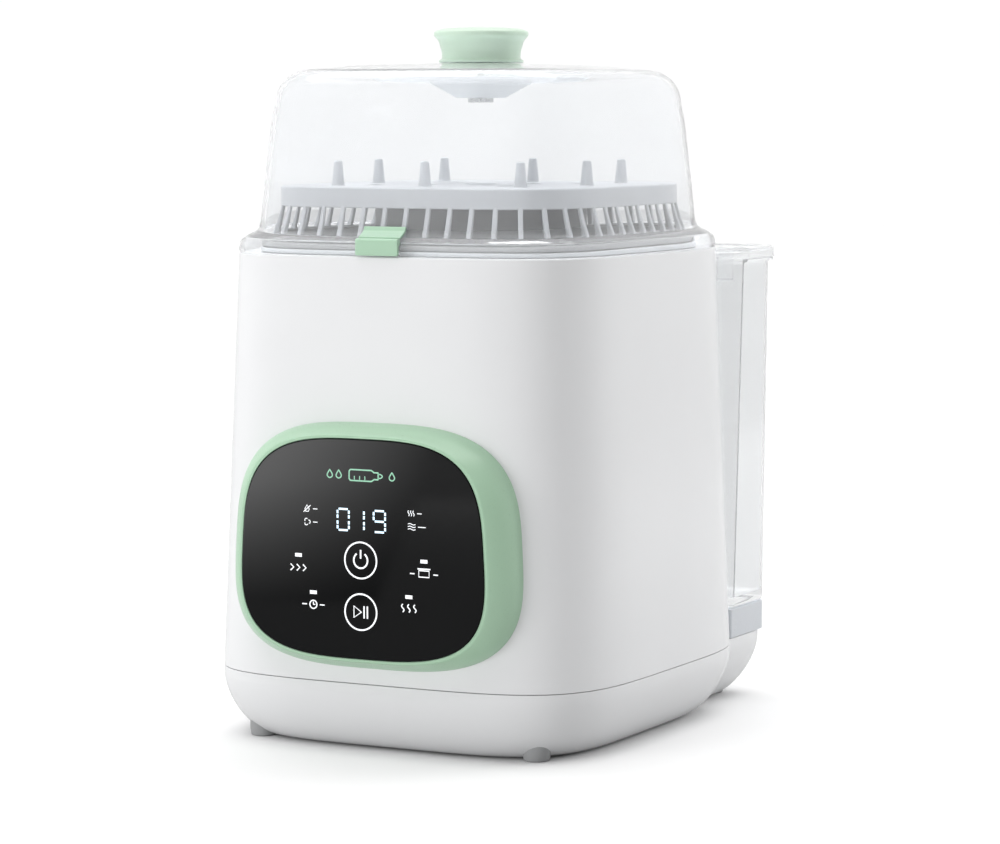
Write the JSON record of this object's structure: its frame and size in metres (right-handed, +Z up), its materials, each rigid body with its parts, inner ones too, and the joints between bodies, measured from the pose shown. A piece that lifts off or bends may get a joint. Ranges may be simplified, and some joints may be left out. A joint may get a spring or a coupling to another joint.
{
  "type": "bottle sterilizer",
  "caption": "Countertop bottle washer-steriliser with a clear lift-off dome lid, lift-out racks, front touch panel and two lift-off water tanks at the back.",
  "frame": {"origin": "on the floor under the middle of the outline (bounding box bottom centre)", "axes": "+Z up; -Y is the front with the control panel; +X is the user's right; the tanks are at +Y"},
  "size_m": [0.264, 0.34, 0.429],
  "materials": {
    "case_white": "satin gloss injection moulded ABS",
    "bezel_green": "satin sage green plastic",
    "knob_green": "satin sage green plastic, slightly milky",
    "latch_green": "satin sage green plastic, slightly milky",
    "panel_black": "polished black touch glass with lit marks",
    "dome_clear": "clear moulded copolyester",
    "tank_clear": "clear moulded copolyester",
    "frosted": "frosted translucent polypropylene",
    "rack_grey": "satin light grey polypropylene",
    "part_grey": "moulded grey plastic",
    "part_dark": "moulded dark plastic",
    "rubber_grey": "soft silicone",
    "steel": "stainless steel",
    "board_green": "solder-masked circuit board",
    "filter_foam": "pleated filter fleece"
  },
  "bodies": {
    "housing": {"base_shell": "case_white", "main_shell": "case_white", "chassis": "part_grey", "foot_front_left": "rubber_grey", "foot_front_right": "rubber_grey", "foot_rear_left": "rubber_grey", "foot_rear_right": "rubber_grey", "base_screw_1": "steel", "base_screw_2": "steel", "base_screw_3": "steel", "base_screw_4": "steel", "bezel_ring": "bezel_green", "panel_glass": "panel_black", "control_board": "board_green", "display_module": "part_dark", "wash_tub": "frosted", "tub_gasket": "rubber_grey", "heater_plate": "steel", "drain_filter": "part_grey", "spray_hub": "part_grey", "pump_body": "part_dark", "pump_motor": "steel", "drain_pump": "part_dark", "fan_housing": "part_dark", "fan_motor": "steel", "fan_duct": "part_dark", "power_board": "board_green", "drain_hose": "rubber_grey", "power_inlet": "part_dark", "tank_dock": "case_white"},
    "lid": {"lid_dome": "dome_clear", "lid_boss": "frosted", "lid_knob": "knob_green", "knob_screw": "steel", "latch_pin": "steel"},
    "latch": {"lid_latch": "latch_green"},
    "upper_rack": {"upper_rack": "rack_grey", "rack_core": "part_grey"},
    "bottle_rack": {"bottle_rack": "frosted"},
    "spray_arm": {"spray_arm": "part_grey"},
    "pump_rotor": {"pump_impeller": "part_grey"},
    "fan_rotor": {"fan_impeller": "part_grey"},
    "filter_drawer": {"filter_cover": "case_white", "air_filter": "filter_foam"},
    "clean_tank": {"clean_tank": "tank_clear", "clean_lid_pin": "steel"},
    "clean_lid": {"clean_tank_lid": "tank_clear"},
    "clean_clip": {"clean_tank_clip": "tank_clear"},
    "clean_valve": {"clean_tank_valve": "part_grey"},
    "waste_tank": {"waste_tank": "tank_clear", "waste_lid_pin": "steel"},
    "waste_lid": {"waste_tank_lid": "tank_clear"},
    "waste_clip": {"waste_tank_clip": "tank_clear"}
  },
  "joints": [
    {"name": "lid_lift", "type": "slide", "parent": "housing", "child": "lid", "axis": [0, 0, 1], "range_m": [0, 0.12]},
    {"name": "latch_flip", "type": "hinge", "parent": "lid", "child": "latch", "pos_m": [0, -0.1489, 0.302], "axis": [-1, 0, 0], "range_deg": [0, 60]},
    {"name": "upper_rack_lift", "type": "slide", "parent": "housing", "child": "upper_rack", "axis": [0, 0, 1], "range_m": [0, 0.015]},
    {"name": "bottle_rack_lift", "type": "slide", "parent": "housing", "child": "bottle_rack", "axis": [0, 0, 1], "range_m": [0, 0.035]},
    {"name": "spray_arm_spin", "type": "hinge", "parent": "housing", "child": "spray_arm", "pos_m": [0, -0.0185, 0.184], "axis": [0, 0, 1], "continuous": true},
    {"name": "pump_spin", "type": "hinge", "parent": "housing", "child": "pump_rotor", "pos_m": [0, -0.0485, 0.095], "axis": [0, 0, 1], "continuous": true},
    {"name": "fan_spin", "type": "hinge", "parent": "housing", "child": "fan_rotor", "pos_m": [-0.05, 0.0475, 0.08], "axis": [0, 0, 1], "continuous": true},
    {"name": "filter_slide", "type": "slide", "parent": "housing", "child": "filter_drawer", "axis": [-1, 0, 0], "range_m": [0, 0.04]},
    {"name": "clean_tank_lift", "type": "slide", "parent": "housing", "child": "clean_tank", "axis": [0, 0, 1], "range_m": [0, 0.2]},
    {"name": "clean_lid_open", "type": "hinge", "parent": "clean_tank", "child": "clean_lid", "pos_m": [0.0054, 0.1365, 0.2875], "axis": [0, -1, 0], "range_deg": [0, 80]},
    {"name": "clean_clip_flip", "type": "hinge", "parent": "clean_tank", "child": "clean_clip", "pos_m": [0.1095, 0.105, 0.2711], "axis": [1, 0, 0], "range_deg": [0, 20]},
    {"name": "clean_valve_lift", "type": "slide", "parent": "clean_tank", "child": "clean_valve", "axis": [0, 0, 1], "range_m": [0, 0.004], "stiffness_N_per_m": 120},
    {"name": "waste_tank_lift", "type": "slide", "parent": "housing", "child": "waste_tank", "axis": [0, 0, 1], "range_m": [0, 0.2]},
    {"name": "waste_lid_open", "type": "hinge", "parent": "waste_tank", "child": "waste_lid", "pos_m": [-0.0054, 0.1365, 0.2875], "axis": [0, 1, 0], "range_deg": [0, 80]},
    {"name": "waste_clip_flip", "type": "hinge", "parent": "waste_tank", "child": "waste_clip", "pos_m": [-0.1095, 0.105, 0.2711], "axis": [1, 0, 0], "range_deg": [0, 20]}
  ]
}
